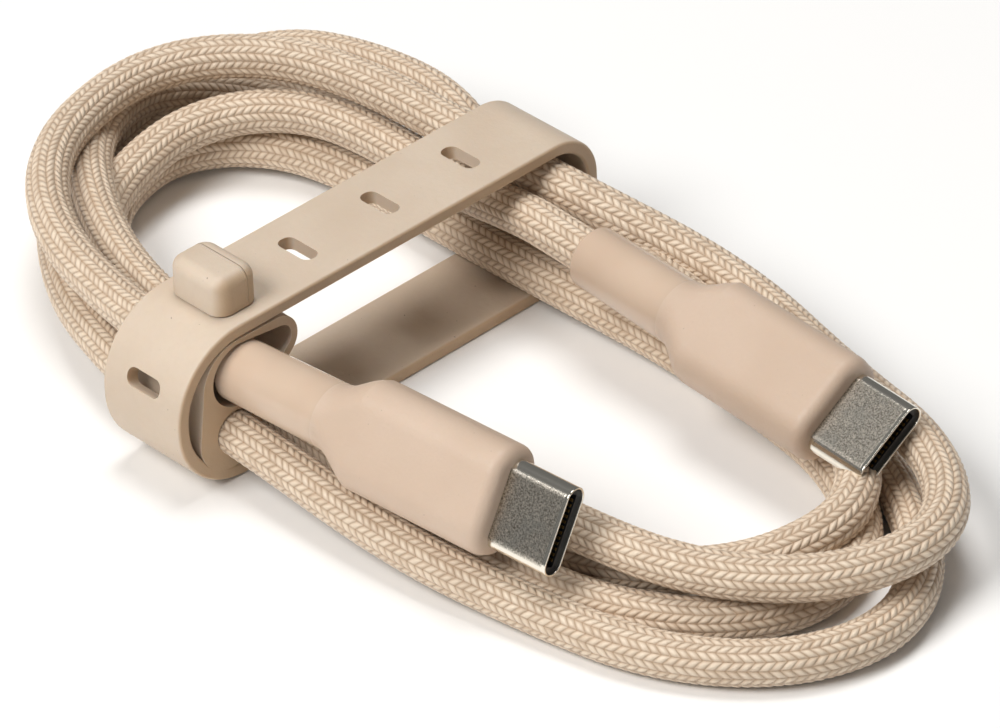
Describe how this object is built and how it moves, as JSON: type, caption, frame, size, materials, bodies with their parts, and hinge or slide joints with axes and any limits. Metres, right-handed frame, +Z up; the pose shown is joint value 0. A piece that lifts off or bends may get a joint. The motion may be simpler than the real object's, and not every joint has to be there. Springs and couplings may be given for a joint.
{
  "type": "charging cable",
  "caption": "Braided charging cable with a reversible slim plug on each end, wound into a loose oval coil and tied by a silicone strap with a stud and slots.",
  "frame": {"origin": "bottom centre of the box round the strap and both plugs, on the floor the coil lies on", "axes": "+X along the coil's length towards the plug tips, +Y across the coil along the strap from the near plug to the far plug, +Z up"},
  "size_m": [0.11, 0.0521, 0.0196],
  "materials": {
    "nickel_shell": "satin nickel, grainy flats and polished edges",
    "black_insulator": "matte black moulding",
    "gold_contacts": "gold-plated",
    "spring_steel": "bright rolled sheet",
    "board": "green solder mask",
    "chip_black": "epoxy package",
    "chip_ceramic": "small ceramic chips",
    "wire_insulation": "coloured wire insulation",
    "cable_jacket": "smooth jacket under the braid",
    "inner_mould": "natural moulded plastic",
    "housing_sand": "fine matte, sand beige",
    "relief_sand": "satin, sand beige, fine parting line",
    "strap_silicone": "matte silicone, sand beige",
    "cable_braid": "tight woven yarn with a soft sheen, sand beige"
  },
  "bodies": {
    "root": {"plug_a_shell": "nickel_shell", "plug_a_insulator": "black_insulator", "plug_a_contacts_upper": "gold_contacts", "plug_a_contacts_lower": "gold_contacts", "plug_a_latch_plate": "spring_steel", "plug_a_ground_springs": "spring_steel", "plug_a_circuit_board": "board", "plug_a_marker_chip": "chip_black", "plug_a_chip_parts": "chip_ceramic", "plug_a_shield_upper": "spring_steel", "plug_a_shield_lower": "spring_steel", "plug_a_wires": "wire_insulation", "plug_a_core_tail": "cable_jacket", "plug_a_ferrule": "spring_steel", "plug_a_inner_mould": "inner_mould", "plug_a_housing": "housing_sand", "plug_a_strain_relief": "relief_sand", "plug_b_shell": "nickel_shell", "plug_b_insulator": "black_insulator", "plug_b_contacts_upper": "gold_contacts", "plug_b_contacts_lower": "gold_contacts", "plug_b_latch_plate": "spring_steel", "plug_b_ground_springs": "spring_steel", "plug_b_circuit_board": "board", "plug_b_marker_chip": "chip_black", "plug_b_chip_parts": "chip_ceramic", "plug_b_shield_upper": "spring_steel", "plug_b_shield_lower": "spring_steel", "plug_b_wires": "wire_insulation", "plug_b_core_tail": "cable_jacket", "plug_b_ferrule": "spring_steel", "plug_b_inner_mould": "inner_mould", "plug_b_housing": "housing_sand", "plug_b_strain_relief": "relief_sand", "strap": "strap_silicone", "cable_coil": "cable_braid", "cable_in_clip": "cable_braid", "cable_lead_a": "cable_braid", "cable_lead_b": "cable_braid"}
  },
  "joints": []
}
